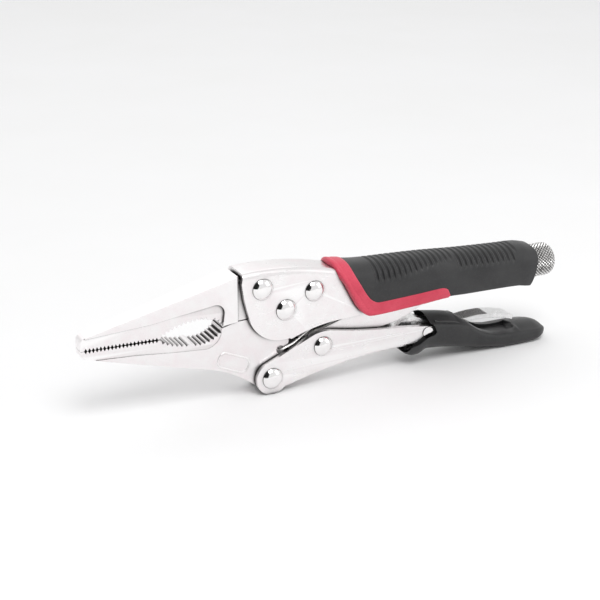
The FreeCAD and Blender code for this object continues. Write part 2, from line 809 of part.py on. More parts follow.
def build_lower_grip(doc, s):
    """Black lower grip: a ring round the lever, an open trough and a solid end pad."""
    body = new_body(doc, "lower_grip")
    x, z = s.lever_pivot_x, s.lever_pivot_z
    pad_outline(body, "moulding", [
        (x + 76.3, z + 14.8),
        (x + 90.8, z + 12.4),
        (x + 93.8, z + 10.2),
        (x + 97.0, z + 7.6),
        (x + 102.8, z + 3.6, x + 112.8, z - 0.4),
        (x + 123.0, z - 0.2),
        (x + 134.8, z - 0.8),
        (x + 140.2, z - 3.4, x + 134.8, z - 6.2),
        (x + 127.0, z - 7.1, x + 119.0, z - 7.2),
        (x + 74.0, z - 2.2),
        (x + 71.0, z - 5.6, x + 66.0, z - 4.2),
        (x + 64.3, z - 1.2),
        (x + 73.3, z + 1.3, x + 78.4, z + 6.4),
        (x + 79.2, z + 10.8),
    ], s.lower_grip_width)
    cut_outline(body, "lever_room", [
        (x + 60.0, z + 12.25),
        (x + 74.8, z + 10.3),
        (x + 97.0, z + 5.0),
        (x + 110.8, z - 1.4),
        (x + 118.8, z - 2.4),
        (x + 118.8, z - 5.0),
        (x + 78.8, z + 0.4),
        (x + 70.8, z + 2.2),
        (x + 60.0, z + 2.3),
    ], s.channel_width)
    cut_outline(body, "slot", [
        (x + 60.0, z + 13.4),
        (x + 76.3, z + 12.8),
        (x + 91.5, z + 10.3),
        (x + 91.5, z + 16.0),
        (x + 124.6, z + 16.0),
        (x + 123.8, z - 2.0),
        (x + 116.0, z - 3.0),
        (x + 78.8, z + 1.5),
        (x + 60.0, z + 3.5),
    ], s.grip_slot)
    return body


# ---------------------------------------------------------------- whole tool
def check_document(doc, parts):
    """Stop if any feature failed or any sub-part isn't one valid solid."""
    for item in doc.Objects:
        if "Invalid" in item.State or "Error" in item.State:
            raise RuntimeError(f"{item.Name} of {item.Label} is {item.State}")
    for part in parts:
        shape = part.Shape
        if shape.isNull() or not shape.isValid():
            raise RuntimeError(f"{part.Label} has no valid shape")
        box = shape.BoundBox
        print(f"{part.Label:24s} solids {len(shape.Solids)} volume {shape.Volume / 1000:8.2f} cm3 "
              f"x {box.XMin:7.1f} {box.XMax:7.1f} y {box.YMin:6.1f} {box.YMax:6.1f} "
              f"z {box.ZMin:6.1f} {box.ZMax:6.1f}")


def main():
    doc = FreeCAD.newDocument("locking_pliers")
    s = write_sheet(doc)
    parts = [
        build_body_channel(doc, s),
        build_upper_jaw(doc, s),
        build_lower_jaw(doc, s),
        build_lower_lever(doc, s),
        build_toggle_link(doc, s),
        build_release_lever(doc, s),
        *build_rivets(doc, s),
        build_adjusting_screw(doc, s),
        build_adjusting_knob(doc, s),
        build_return_spring(doc, s),
        build_upper_grip_base(doc, s),
        build_upper_grip_cover(doc, s),
        build_lower_grip(doc, s),
    ]
    doc.recompute()
    check_document(doc, parts)
    os.makedirs("parts", exist_ok=True)
    for part in parts:
        part.Shape.exportStep(f"parts/{part.Label}.step")


main()
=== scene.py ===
import bisect
import math

import bmesh
import bpy
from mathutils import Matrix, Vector


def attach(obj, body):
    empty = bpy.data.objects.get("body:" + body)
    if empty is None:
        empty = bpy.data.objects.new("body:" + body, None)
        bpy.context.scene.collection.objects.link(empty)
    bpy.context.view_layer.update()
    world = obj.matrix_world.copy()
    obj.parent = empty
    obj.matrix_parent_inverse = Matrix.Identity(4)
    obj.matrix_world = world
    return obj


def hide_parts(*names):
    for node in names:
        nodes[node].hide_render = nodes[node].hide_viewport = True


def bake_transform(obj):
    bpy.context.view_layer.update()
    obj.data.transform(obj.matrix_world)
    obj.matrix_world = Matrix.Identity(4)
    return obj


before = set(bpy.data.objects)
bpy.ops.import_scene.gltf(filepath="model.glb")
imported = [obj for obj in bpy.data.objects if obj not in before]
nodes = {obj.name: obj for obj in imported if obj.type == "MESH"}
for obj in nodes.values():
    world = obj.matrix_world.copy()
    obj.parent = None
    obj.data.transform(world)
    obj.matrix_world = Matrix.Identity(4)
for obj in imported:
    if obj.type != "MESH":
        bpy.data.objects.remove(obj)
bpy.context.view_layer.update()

MM = 0.001
QUARTER = math.pi / 2


# ---------------------------------------------------------------- camera, light and floor
CAMERA_AZIMUTH = math.radians(-26.25)
CAMERA_ELEVATION = math.radians(21.2)
CAMERA_DISTANCE = 0.6427
CAMERA_LENS = 91.14
CAMERA_TARGET = Vector((-0.0142, 0.0, 0.03719))


def link_object(item):
    bpy.context.scene.collection.objects.link(item)
    return item


def add_camera():
    level = math.cos(CAMERA_ELEVATION)
    back = Vector((math.sin(CAMERA_AZIMUTH) * level,
                   -math.cos(CAMERA_AZIMUTH) * level,
                   math.sin(CAMERA_ELEVATION)))
    data = bpy.data.cameras.new("camera")
    data.lens = CAMERA_LENS
    data.sensor_width = 36.0
    data.clip_start = 0.01
    data.clip_end = 20.0
    camera = link_object(bpy.data.objects.new("camera", data))
    camera.location = CAMERA_TARGET + back * CAMERA_DISTANCE
    camera.rotation_mode = "QUATERNION"
    camera.rotation_quaternion = (-back).to_track_quat("-Z", "Y")
    bpy.context.scene.camera = camera


def add_area_light(name, place, width, height, power, target=(0.0, 0.0, 0.03)):
    data = bpy.data.lights.new(name, "AREA")
    data.energy = power
    data.shape = "RECTANGLE"
    data.size = width
    data.size_y = height
    light = link_object(bpy.data.objects.new(name, data))
    light.location = place
    aim = Vector(target) - Vector(place)
    light.rotation_mode = "QUATERNION"
    light.rotation_quaternion = aim.to_track_quat("-Z", "Y")


def add_world():
    """A white studio, dark at its upper left, so that polished steel has something to show."""
    world = bpy.data.worlds.new("studio")
    world.use_nodes = True
    tree = world.node_tree
    background = tree.nodes["Background"]
    coordinates = tree.nodes.new("ShaderNodeTexCoord")
    facing = tree.nodes.new("ShaderNodeVectorMath")
    facing.operation = "DOT_PRODUCT"
    facing.inputs[1].default_value = Vector((-0.78, -0.50, 0.38)).normalized()
    tree.links.new(coordinates.outputs["Generated"], facing.inputs[0])
    ramp = tree.nodes.new("ShaderNodeValToRGB")
    ramp.color_ramp.elements[0].position = 0.81
    ramp.color_ramp.elements[0].color = (1.0, 1.0, 1.0, 1.0)
    ramp.color_ramp.elements[1].position = 0.86
    ramp.color_ramp.elements[1].color = (0.02, 0.02, 0.02, 1.0)
    tree.links.new(facing.outputs["Value"], ramp.inputs["Fac"])
    tree.links.new(ramp.outputs["Color"], background.inputs["Color"])
    background.inputs["Strength"].default_value = 0.86
    bpy.context.scene.world = world


def add_floor():
    bm = bmesh.new()
    half = 2.5
    corners = ((-half, -half), (half, -half), (half, half), (-half, half))
    bm.faces.new([bm.verts.new((x, y, 0.0)) for x, y in corners])
    mesh = bpy.data.meshes.new("floor")
    bm.to_mesh(mesh)
    bm.free()
    floor = link_object(bpy.data.objects.new("floor", mesh))
    floor.data.materials.append(floor_material())


# ---------------------------------------------------------------- materials
class Look:
    """A principled material and short ways to add nodes to it."""

    def __init__(self, name):
        self.material = bpy.data.materials.new(name)
        self.material.use_nodes = True
        self.tree = self.material.node_tree
        self.shader = next(node for node in self.tree.nodes if node.type == "BSDF_PRINCIPLED")
        self.place = self.tree.nodes.new("ShaderNodeTexCoord").outputs["Object"]

    def set(self, **values):
        for name, value in values.items():
            self.shader.inputs[name.replace("_", " ")].default_value = value

    def link(self, source, target):
        self.tree.links.new(source, target)

    def node(self, kind):
        return self.tree.nodes.new("ShaderNode" + kind)

    def noise(self, per_metre, detail=4.0, rough=0.55, stretch=None):
        source = self.place
        if stretch:
            mapping = self.node("Mapping")
            mapping.inputs["Scale"].default_value = stretch
            self.link(self.place, mapping.inputs["Vector"])
            source = mapping.outputs["Vector"]
        noise = self.node("TexNoise")
        noise.inputs["Scale"].default_value = per_metre
        noise.inputs["Detail"].default_value = detail
        noise.inputs["Roughness"].default_value = rough
        self.link(source, noise.inputs["Vector"])
        return noise.outputs["Fac"]

    def range(self, source, low, high, to_low, to_high):
        mapper = self.node("MapRange")
        limits = {"From Min": low, "From Max": high, "To Min": to_low, "To Max": to_high}
        for name, value in limits.items():
            mapper.inputs[name].default_value = value
        self.link(source, mapper.inputs["Value"])
        return mapper.outputs["Result"]

    def mix(self, factor, first, second):
        """Blend two colours, each a tuple or the output of another mix."""
        mixer = self.node("Mix")
        mixer.data_type = "RGBA"
        self.link(factor, mixer.inputs["Factor"])
        for name, value in (("A", first), ("B", second)):
            socket = next(item for item in mixer.inputs
                          if item.name == name and item.type == "RGBA")
            if isinstance(value, tuple):
                socket.default_value = (*value, 1.0)
            else:
                self.link(value, socket)
        return next(item for item in mixer.outputs if item.type == "RGBA")

    def add(self, first, second):
        math_node = self.node("Math")
        math_node.operation = "ADD"
        self.link(first, math_node.inputs[0])
        self.link(second, math_node.inputs[1])
        return math_node.outputs["Value"]

    def bump(self, height, distance, strength=1.0, over=None):
        bump = self.node("Bump")
        bump.inputs["Strength"].default_value = strength
        bump.inputs["Distance"].default_value = distance
        self.link(height, bump.inputs["Height"])
        if over:
            self.link(over, bump.inputs["Normal"])
        return bump.outputs["Normal"]

    def painted_shade_mask(self, reach):
        """Mask for painted shade: 1 deep in a corner or a gap narrower than reach, 0 out in the
        open.
        """
        shade = self.node("AmbientOcclusion")
        shade.samples = 8
        shade.inputs["Distance"].default_value = reach
        return self.range(shade.outputs["AO"], 0.50, 0.90, 1.0, 0.0)

    def finish(self, colour=None, rough=None, normal=None):
        for name, source in (("Base Color", colour), ("Roughness", rough), ("Normal", normal)):
            if source:
                self.link(source, self.shader.inputs[name])
        return self.material


def floor_material():
    look = Look("floor")
    look.set(Roughness=0.75, Specular_IOR_Level=0.15)
    cloud = look.noise(9.0)
    pale, paler = (0.90, 0.90, 0.90), (0.915, 0.915, 0.92)
    return look.finish(look.mix(look.range(cloud, 0.3, 0.7, 0.0, 1.0), pale, paler))


def plated_steel(name, tint, rough, grain):
    """Satin nickel-chrome plate: fine blasted grain, faint warm clouds, edges rubbed brighter,
    painted shade in its hollows and gaps.
    """
    look = Look(name)
    look.set(Metallic=1.0)
    warm = tuple(channel * factor for channel, factor in zip(tint, (0.985, 0.945, 0.955)))
    dull = tuple(channel * 0.86 for channel in tint)
    cloud = look.noise(170.0, 5.0, 0.6)
    speck = look.noise(2300.0, 2.0, 0.6)
    colour = look.mix(look.range(cloud, 0.38, 0.66, 0.0, 1.0), tint, warm)
    colour = look.mix(look.range(speck, 0.56, 0.78, 0.0, 0.75), colour, dull)
    edge = look.node("NewGeometry").outputs["Pointiness"]
    worn = look.range(edge, 0.52, 0.60, 0.0, 1.0)
    # painted shade: concave places darkened
    hollow_shade = look.range(edge, 0.485, 0.40, 0.0, 1.0)
    colour = look.mix(worn, colour, (0.96, 0.95, 0.95))
    colour = look.mix(hollow_shade, colour, (0.30, 0.27, 0.26))
    # painted shade: dimmer near corners and steps, near black in narrow gaps between parts
    colour = look.mix(look.painted_shade_mask(0.0034), colour, tuple(channel * 0.62 for channel in tint))
    colour = look.mix(look.painted_shade_mask(0.0016), colour, (0.035, 0.032, 0.032))
    streak = look.noise(260.0, 3.0, 0.5, (1.0, 1.0, 5.0))
    roughness = look.range(look.add(cloud, streak), 0.7, 1.3, rough - 0.05, rough + 0.08)
    fine = look.bump(look.noise(1500.0, 3.0, 0.6), 0.00004, grain)
    uneven = look.bump(look.noise(95.0, 2.0, 0.5), 0.00012, grain * 0.5, over=fine)
    return look.finish(colour, roughness, uneven)


def polished_steel(name, tint, rough):
    """Polished rivet heads with hair-fine scratches and a few dents."""
    look = Look(name)
    look.set(Metallic=1.0)
    scratch = look.noise(900.0, 3.0, 0.7, (6.0, 1.0, 1.0))
    cloud = look.noise(320.0, 3.0)
    colour = look.mix(look.range(cloud, 0.35, 0.7, 0.0, 1.0), tint, tuple(c * 0.94 for c in tint))
    roughness = look.range(scratch, 0.35, 0.75, rough - 0.03, rough + 0.06)
    # painted shade: near black where the heads meet the parts round them
    colour = look.mix(look.painted_shade_mask(0.0012), colour, (0.03, 0.028, 0.028))
    normal = look.bump(look.noise(240.0, 2.0), 0.00006, 0.35)
    return look.finish(colour, roughness, normal)


def worn_steel(name, tint, dark, rough, scale, shaded=True):
    """Bright cut steel with painted shade in its hollows and, when shaded, painted shade in its
    corners and gaps.
    """
    look = Look(name)
    look.set(Metallic=1.0)
    edge = look.node("NewGeometry").outputs["Pointiness"]
    cloud = look.noise(scale, 4.0, 0.65)
    colour = look.mix(look.range(cloud, 0.35, 0.7, 0.0, 1.0), tint, tuple(c * 0.82 for c in tint))
    # painted shade: concave places darkened
    colour = look.mix(look.range(edge, 0.50, 0.44, 0.0, 1.0), colour, dark)
    colour = look.mix(look.range(edge, 0.53, 0.60, 0.0, 1.0), colour, (0.95, 0.94, 0.93))
    if shaded:
        # painted shade from ambient occlusion
        colour = look.mix(look.painted_shade_mask(0.0009), colour, dark)
    roughness = look.range(cloud, 0.3, 0.75, rough - 0.06, rough + 0.12)
    normal = look.bump(look.noise(scale * 6.0, 2.0), 0.00005, 0.4)
    return look.finish(colour, roughness, normal)


def rubber(name, colour, light, dust, rough, grain, sheen):
    """Moulded soft plastic: fine leather grain, rubbed edges, dust specks, painted shade in its
    hollows.
    """
    look = Look(name)
    look.set(Specular_IOR_Level=0.45, Sheen_Weight=sheen, Sheen_Roughness=0.5)
    cloud = look.noise(70.0, 4.0, 0.6)
    speck = look.noise(1400.0, 2.0, 0.6)
    edge = look.node("NewGeometry").outputs["Pointiness"]
    base = look.mix(look.range(cloud, 0.35, 0.68, 0.0, 1.0), colour, light)
    base = look.mix(look.range(speck, 0.52, 0.8, 0.0, 0.6), base, dust)
    base = look.mix(look.range(edge, 0.525, 0.60, 0.0, 0.8), base, light)
    # painted shade: hollows such as the rib grooves darkened
    base = look.mix(look.range(edge, 0.48, 0.42, 0.0, 0.5), base, tuple(c * 0.45 for c in colour))
    roughness = look.range(look.add(cloud, speck), 0.75, 1.3, rough - 0.07, rough + 0.10)
    pebble = look.bump(look.noise(1100.0, 3.0, 0.6), 0.00005, grain)
    uneven = look.bump(look.noise(120.0, 2.0), 0.0001, grain * 0.6, over=pebble)
    return look.finish(base, roughness, uneven)


# ---------------------------------------------------------------- mesh helpers
def smooth_line(points):
    """A smooth curve through (x, value) points that never overshoots them."""
    xs = [x for x, _ in points]
    ys = [y for _, y in points]
    slopes = [(y1 - y0) / (x1 - x0) for (x0, y0), (x1, y1) in zip(points, points[1:])]
    inner = [0.0 if a * b <= 0 else 2 * a * b / (a + b) for a, b in zip(slopes, slopes[1:])]
    tangents = [slopes[0], *inner, slopes[-1]]

    def value(x):
        if x <= xs[0]:
            return ys[0]
        if x >= xs[-1]:
            return ys[-1]
        index = bisect.bisect_right(xs, x) - 1
        span = xs[index + 1] - xs[index]
        u = (x - xs[index]) / span
        rise = u * u * (3 - 2 * u)
        leave = u * (1 - u) ** 2
        arrive = u * u * (u - 1)
        return (ys[index] + rise * (ys[index + 1] - ys[index])
                + span * (leave * tangents[index] + arrive * tangents[index + 1]))

    return value


def ease(value, low, high):
    """0 below low, 1 above high, smooth between."""
    u = min(max((value - low) / (high - low), 0.0), 1.0)
    return u * u * (3 - 2 * u)


def lerp(a, b, u):
    return a + (b - a) * u


def spread(low, high, count):
    return [lerp(low, high, index / (count - 1)) for index in range(count)]


def make_piece(name, verts, faces, body, material, replaced=(), smooth_angle=40.0):
    """A piece from vertices in millimetres; it rides on a body and takes one material."""
    mesh = bpy.data.meshes.new(name)
    bm = bmesh.new()
    made = [bm.verts.new(Vector(point) * MM) for point in verts]
    for face in faces:
        try:
            bm.faces.new([made[index] for index in face])
        except ValueError:
            continue
    bmesh.ops.remove_doubles(bm, verts=bm.verts, dist=1e-6)
    bmesh.ops.dissolve_degenerate(bm, edges=bm.edges, dist=1e-7)
    bmesh.ops.recalc_face_normals(bm, faces=bm.faces)
    bm.to_mesh(mesh)
    bm.free()
    mesh.shade_smooth()
    mesh.set_sharp_from_angle(angle=math.radians(smooth_angle))
    piece = link_object(bpy.data.objects.new(name, mesh))
    mesh.materials.append(material)
    if body:
        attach(piece, body)
    if replaced:
        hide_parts(*replaced)
    return piece


def grid_faces(rows, columns, first=0, closed_columns=False, closed_rows=False):
    """Quads over a grid of vertices stored row by row."""
    faces = []
    for row in range(rows if closed_rows else rows - 1):
        after = (row + 1) % rows
        for column in range(columns if closed_columns else columns - 1):
            beside = (column + 1) % columns
            faces.append((first + row * columns + column, first + row * columns + beside,
                          first + after * columns + beside, first + after * columns + column))
    return faces


def tube(points, radius, sides=10):
    """Vertices and faces of a round tube along points, closed at both ends."""
    path = [Vector(point) for point in points]
    verts, normal = [], None
    for index, point in enumerate(path):
        ahead = path[min(index + 1, len(path) - 1)]
        behind = path[max(index - 1, 0)]
        along = (ahead - behind).normalized()
        if normal is None:
            normal = along.orthogonal().normalized()
        normal = (normal - along * normal.dot(along)).normalized()
        other = along.cross(normal)
        for side in range(sides):
            angle = 2 * math.pi * side / sides
            verts.append(point + (normal * math.cos(angle) + other * math.sin(angle)) * radius)
    faces = grid_faces(len(path), sides, closed_columns=True)
    faces.append(tuple(reversed(range(sides))))
    faces.append(tuple(range(len(verts) - sides, len(verts))))
    return verts, faces


# ---------------------------------------------------------------- upper grip
RIDGE = smooth_line([(-6, 52.7), (-3.8, 52.9), (-1.5, 53.4), (2.3, 53.1), (8, 52.0), (14, 51.3),
                     (30, 50.6), (44, 49.9), (64, 48.4), (86, 47.2), (98.5, 46.7), (108, 45.4)])
UNDERSIDE = smooth_line([(9, 29.8), (13, 28.3), (17, 28.1), (36, 29.0), (54, 30.3), (62, 30.0),
                         (85, 29.6), (103, 28.5), (108, 28.3)])
HALF_WIDTH = smooth_line([(-6, 10.2), (4, 10.6), (14, 11.0), (40, 10.9), (62, 10.7), (86, 10.8),
                          (98, 11.0), (108, 10.6)])
SHOULDER_DROP = 9.2
CROWN = 0.56
EDGE = 0.93
EDGE_RADIUS = 1.5


def grip_point(x, t):
    """Point (y, z) of the upper grip's section at x: t is 0 on the ridge and 1 under the edge."""
    top, bottom, half = RIDGE(x), UNDERSIDE(x), HALF_WIDTH(x)
    shoulder = top - SHOULDER_DROP
    lean = 0.3
    if t <= CROWN:
        angle = t / CROWN * QUARTER
        return half * math.sin(angle) ** 0.92, shoulder + SHOULDER_DROP * math.cos(angle) ** 0.92
    if t <= EDGE:
        u = (t - CROWN) / (EDGE - CROWN)
        return half - lean * u * u, lerp(shoulder, bottom + EDGE_RADIUS, u)
    angle = (t - EDGE) / (1 - EDGE) * QUARTER
    y = half - lean - EDGE_RADIUS * (1 - math.cos(angle))
    return y, bottom + EDGE_RADIUS * (1 - math.sin(angle))


def grip_skin(x, t, offset):
    """A point of the skin moved out by offset along the section's normal."""
    step = 0.004
    y, z = grip_point(x, t)
    y0, z0 = grip_point(x, max(t - step, 0.0))
    y1, z1 = grip_point(x, min(t + step, 1.0))
    along = Vector((y1 - y0, z1 - z0)).normalized()
    return y - along.y * offset, z + along.x * offset


def grip_parameter(x, z):
    """The t at which the section at x reaches height z."""
    low, high = 0.0, 1.0
    for _ in range(30):
        middle = (low + high) / 2
        if grip_point(x, middle)[1] > z:
            low = middle
        else:
            high = middle
    return (low + high) / 2


GROOVE_DEPTH = 0.75
GROOVE_HALF = 0.78
FRONT_GROOVES = [(17.4 + 2.74 * index, lerp(43.8, 46.9, ease(index, 2, 15))) for index in range(15)]
REAR_GROOVES = [(59.2 + 2.76 * index, lerp(43.0, 41.7, index / 10)) for index in range(11)]
GROOVES = FRONT_GROOVES + REAR_GROOVES + [(89.3, 45.4)]


def groove_offset(x, z):
    """How far the cover's skin sinks into the nearest rib groove."""
    for centre, end in GROOVES:
        away = abs(x - centre)
        if away < GROOVE_HALF:
            across = math.cos(away / GROOVE_HALF * QUARTER) ** 0.8
            return -GROOVE_DEPTH * across * ease(z, end - 0.7, end + 1.3)
    return 0.0


def cover_rows():
    """The x of each section of the cover, close together where the grooves are."""
    rows = spread(1.2, 15.6, 14)
    rows += spread(16.2, STRAIGHT_END, 375)
    rows += spread(91.8, LAST_ROW, 18)
    return rows


def cover_end(y, z):
    """Where the cover ends at (y, z): a slanted rear edge, rounded in plan toward both flanks."""
    return END_LINE(z) - END_ROUNDING * min(abs(y) / FLANK, 1.0) ** 3


END_LINE = smooth_line([(28.2, 98.8), (31, 100.6), (34, 101.8), (37.1, 102.5), (40, 102.7),
                        (43, 101.8), (45.8, 99.4), (47, 98.3), (48, 98.0)])
END_ROUNDING = 3.6
FLANK = 10.8
STRAIGHT_END = 91.0
LAST_ROW = 106.8
COVER_SAMPLES = 30
SLANT = 0.677
SLANT_FOOT = 34.0
SLANT_BACK = 16.5
CUP_RADIUS = 8.0
SCREW_HEIGHT = 36.4


def cover_point(x, t, side):
    y, z = grip_skin(x, t, 0.0)
    place = x
    if x < SLANT_BACK:
        fade = (SLANT_BACK - x) / (SLANT_BACK - 1.2)
        place = x + (RIDGE(x) - max(z, SLANT_FOOT)) * SLANT * fade
    if x > STRAIGHT_END:
        share = (x - STRAIGHT_END) / (LAST_ROW - STRAIGHT_END)
        place = STRAIGHT_END + share * (cover_end(y, z) - STRAIGHT_END)
    y, z = grip_skin(x, t, groove_offset(place, z))
    return Vector((place, side * y, z))


def build_grip_cover():
    """Black cover: ribbed over the top, plain on its flanks, with a round cup for the knob."""
    half = spread(0.0, 1.0, COVER_SAMPLES)
    around = [(-1, t) for t in reversed(half[1:])] + [(1, t) for t in half]
    rows = cover_rows()
    verts = []
    for x in rows:
        left = cover_point(x, 1.0, -1)
        right = cover_point(x, 1.0, 1)
        verts += [Vector((left.x, -7.7, left.z + 3.0)), Vector((left.x, -7.9, left.z))]
        verts += [cover_point(x, t, side) for side, t in around]
        verts += [Vector((right.x, 7.9, right.z)), Vector((right.x, 7.7, right.z + 3.0))]
    columns = len(around) + 4
    last_skin = verts[-columns:]
    cup_rear, cup_floor = [], []
    cup_bottom = 97.0
    for index, point in enumerate(last_skin):
        angle = lerp(-2.55, 2.55, index / (columns - 1))
        y = CUP_RADIUS * math.sin(angle)
        z = SCREW_HEIGHT + CUP_RADIUS * math.cos(angle)
        lip = lerp(point.x, cover_end(y, z), 0.8) - 0.3
        cup_rear.append(Vector((lip, y, z)))
        cup_floor.append(Vector((cup_bottom, y, z)))
    rounded = [Vector((point.x + 0.35, point.y * 0.955, lerp(point.z, SCREW_HEIGHT, 0.045)))
               for point in last_skin]
    flat = [rounded[index].lerp(cup_rear[index], 0.75) for index in range(columns)]
    for ring in (rounded, flat, cup_rear, cup_floor):
        verts += ring
    faces = grid_faces(len(rows) + 4, columns)
    return make_piece("grip_cover", verts, faces, "root", black,
                      ("upper_grip_cover",), 35.0)


RIM_LINE = [(-1.6, 60.0), (-1.2, 52.4), (-0.4, 50.0), (1.4, 46.4), (5.2, 39.2), (9.3, 32.2),
            (11.2, 30.0), (14.8, 28.4), (24, 28.5), (36, 29.1), (45, 29.8), (53.2, 30.4)]
SEAM_LINE = [(5.8, 60.0), (5.9, 52.6), (6.6, 49.6), (9.5, 43.3), (15.4, 35.4), (18.6, 34.35),
             (25, 34.5), (33, 34.8), (44, 35.3), (49.5, 35.5), (52.4, 34.6), (53.9, 31.6)]
BAND_STATIONS = [0.0, 0.09, 0.16, 0.27, 0.46, 0.62, 0.70, 0.80, 0.89, 0.94, 0.975, 1.0]
BAND_PROFILE = [(0.0, -3.3), (0.0, -1.6), (0.0, -0.55), (0.04, 0.12), (0.11, 0.36), (0.2, 0.38),
                (0.29, 0.26), (0.35, 0.13), (0.40, 0.19), (0.5, 0.26), (0.7, 0.30), (0.88, 0.34),
                (0.95, 0.28), (0.99, 0.05), (1.0, -0.5)]


def band_path(line):
    """Side-view line as smooth functions of a station from 0 on the ridge to 1 at the rear end."""
    along = smooth_line([(station, x) for station, (x, _) in zip(BAND_STATIONS, line)])
    section = []
    for station, (x, z) in zip(BAND_STATIONS, line):
        section.append((station, 0.0 if z > 55 else grip_parameter(x, z)))
    return along, smooth_line(section)


def build_grip_base():
    """Red base: a beaded collar over the ridge that runs back as a strip along each lower edge."""
    rim_x, rim_t = band_path(RIM_LINE)
    seam_x, seam_t = band_path(SEAM_LINE)
    half = spread(0.0, 1.0, 90)
    stations = [(-1, k) for k in reversed(half[1:])] + [(1, k) for k in half]
    verts = []
    for side, k in stations:
        for across, offset in BAND_PROFILE:
            x = lerp(rim_x(k), seam_x(k), across)
            t = lerp(rim_t(k), seam_t(k), across)
            y, z = grip_skin(x, t, offset)
            verts.append(Vector((x, side * y, z)))
    rows, columns = len(stations), len(BAND_PROFILE)
    faces = grid_faces(rows, columns)
    faces.append(tuple(range(columns)))
    faces.append(tuple(reversed(range((rows - 1) * columns, rows * columns))))
    return make_piece("grip_base", verts, faces, "root", red,
                      ("upper_grip_base",), 60.0)


# ---------------------------------------------------------------- lower grip
LOW_BOTTOM = smooth_line([(33.0, 7.0), (34.2, 5.7), (35.6, 4.8), (38.0, 4.1), (40.4, 4.1),
                          (42.4, 5.1), (44.4, 5.9), (48, 5.7), (66, 3.2), (80, 1.1), (88.2, 0.0),
                          (96, 0.0), (102, 0.6), (106.0, 1.8), (108.4, 3.3), (109.4, 4.4)])
LOW_SIDE = smooth_line([(33.0, 20.6), (45.5, 18.7), (60.0, 16.0), (66.8, 14.0), (70.5, 11.5),
                        (73.9, 9.4), (80, 7.4), (84.7, 6.7), (93, 6.6), (103, 6.0), (107.6, 5.4),
                        (109.4, 4.6)])
LOW_CENTRE = smooth_line([(33.0, 23.4), (45.5, 21.6), (60.0, 18.9), (63.4, 16.9), (67.0, 14.6),
                          (70.5, 11.8), (74.5, 9.6), (80, 7.6), (86, 6.9), (90.0, 7.0), (93.5, 7.8),
                          (97.0, 8.2), (103.0, 7.9), (107.0, 6.7), (109.4, 4.7)])
LOW_HALF = smooth_line([(33.0, 9.9), (38.0, 10.0), (43.0, 9.6), (50.0, 9.5), (70, 9.2), (92, 9.4),
                        (101, 9.4)])
RIM_START = smooth_line([(0.0, 33.6), (0.10, 35.6), (0.27, 41.6), (0.40, 45.2), (0.53, 47.4),
                         (0.79, 48.4), (0.94, 47.2), (1.0, 45.6)])
SLOT_HALF = smooth_line([(60.6, 0.0), (61.6, 2.4), (63.4, 4.0), (66.0, 4.5), (91.6, 4.5),
                         (93.0, 3.9), (93.9, 0.0)])
SLOT_FLOOR = smooth_line([(48.0, 10.0), (60.0, 8.4), (76.0, 6.2), (84.0, 5.55), (88.2, 5.4),
                          (94.0, 5.4)])
END_RADIUS = 7.6
LOW_END = 109.4
LEVER_UNDERSIDE = smooth_line([(30, 8.6), (40, 9.2), (48, 7.4), (88, 2.0), (94, 1.4)])


def low_half(x):
    """Half width of the lower grip, rounded in plan at its rear."""
    half = LOW_HALF(x)
    over = x - (LOW_END - END_RADIUS)
    if over > 0:
        half -= END_RADIUS - math.sqrt(max(END_RADIUS ** 2 - over ** 2, 0.0))
    return half


def low_outline(x, g):
    """Outer skin (y, z) of the lower grip: g is 0 under its middle and 1 at its upper edge."""
    bottom, top, half = LOW_BOTTOM(x), LOW_SIDE(x), low_half(x)
    height = top - bottom
    corner = min(lerp(5.4, 2.6, ease(x, 48, 76)), height * 0.42)
    flat = 0.22
    bend = 0.42
    crown = 0.86
    if g <= flat:
        return (half - corner) * g / flat, bottom
    if g <= bend:
        angle = (g - flat) / (bend - flat) * QUARTER
        return half - corner + corner * math.sin(angle), bottom + corner * (1 - math.cos(angle))
    shoulder = top - min(3.0, height * 0.3)
    if g <= crown:
        u = (g - bend) / (crown - bend)
        return half, lerp(bottom + corner, shoulder, u)
    angle = (g - crown) / (1 - crown) * QUARTER
    return half - 1.5 * (1 - math.cos(angle)), lerp(shoulder, top, math.sin(angle))


def build_lower_grip():
    """Lower grip: flared ring round the lever, open trough for the thumb lever, crowned end pad."""
    outer = spread(0.0, 1.0, 26)
    rows = [("rim", s) for s in spread(0.0, 1.0, 16)]
    rows += [("body", x) for x in spread(50.6, LOW_END - 0.04, 120)]
    verts, columns = [], 0
    for kind, value in rows:
        half = low_section(kind, value, outer)
        mirrored = [Vector((point.x, -point.y, point.z)) for point in reversed(half[1:])]
        ring = mirrored + half
        columns = len(ring)
        verts += ring
    faces = grid_faces(len(rows), columns, closed_columns=True)
    faces.append(tuple(range((len(rows) - 1) * columns, len(rows) * columns)))
    return make_piece("lower_grip_moulding", verts, faces, "lever", black,
                      ("lower_grip",), 38.0)


def low_section(kind, value, outer):
    """Half section from under the middle, up the outside, over the edge and down the inside."""
    points = []
    for g in outer:
        if kind == "rim":
            start = RIM_START(rim_height(g))
            x = lerp(start, 50.0, value)
        else:
            x = value
        y, z = low_outline(x, g)
        points.append(Vector((x, y, z)))
    reach = points[-1].x
    slot = SLOT_HALF(reach)
    top_z = LOW_SIDE(reach)
    centre = max(top_z + 0.05, LOW_CENTRE(reach))
    side = points[-1]
    inward = spread(0.0, 1.0, 7)[1:]
    for u in inward:
        y = lerp(side.y, slot, u)
        lift = math.sin(u * QUARTER) * (centre - top_z)
        points.append(Vector((reach, y, top_z + lift)))
    points += low_inside(kind, value, points, slot)
    return points


def rim_height(g):
    """Share of the full height at which the outline's g lies."""
    if g <= 0.22:
        return 0.0
    if g <= 0.42:
        return 0.12 * ((g - 0.22) / 0.2) ** 2
    if g <= 0.86:
        return lerp(0.12, 0.86, (g - 0.42) / 0.44)
    return lerp(0.86, 1.0, (g - 0.86) / 0.14)


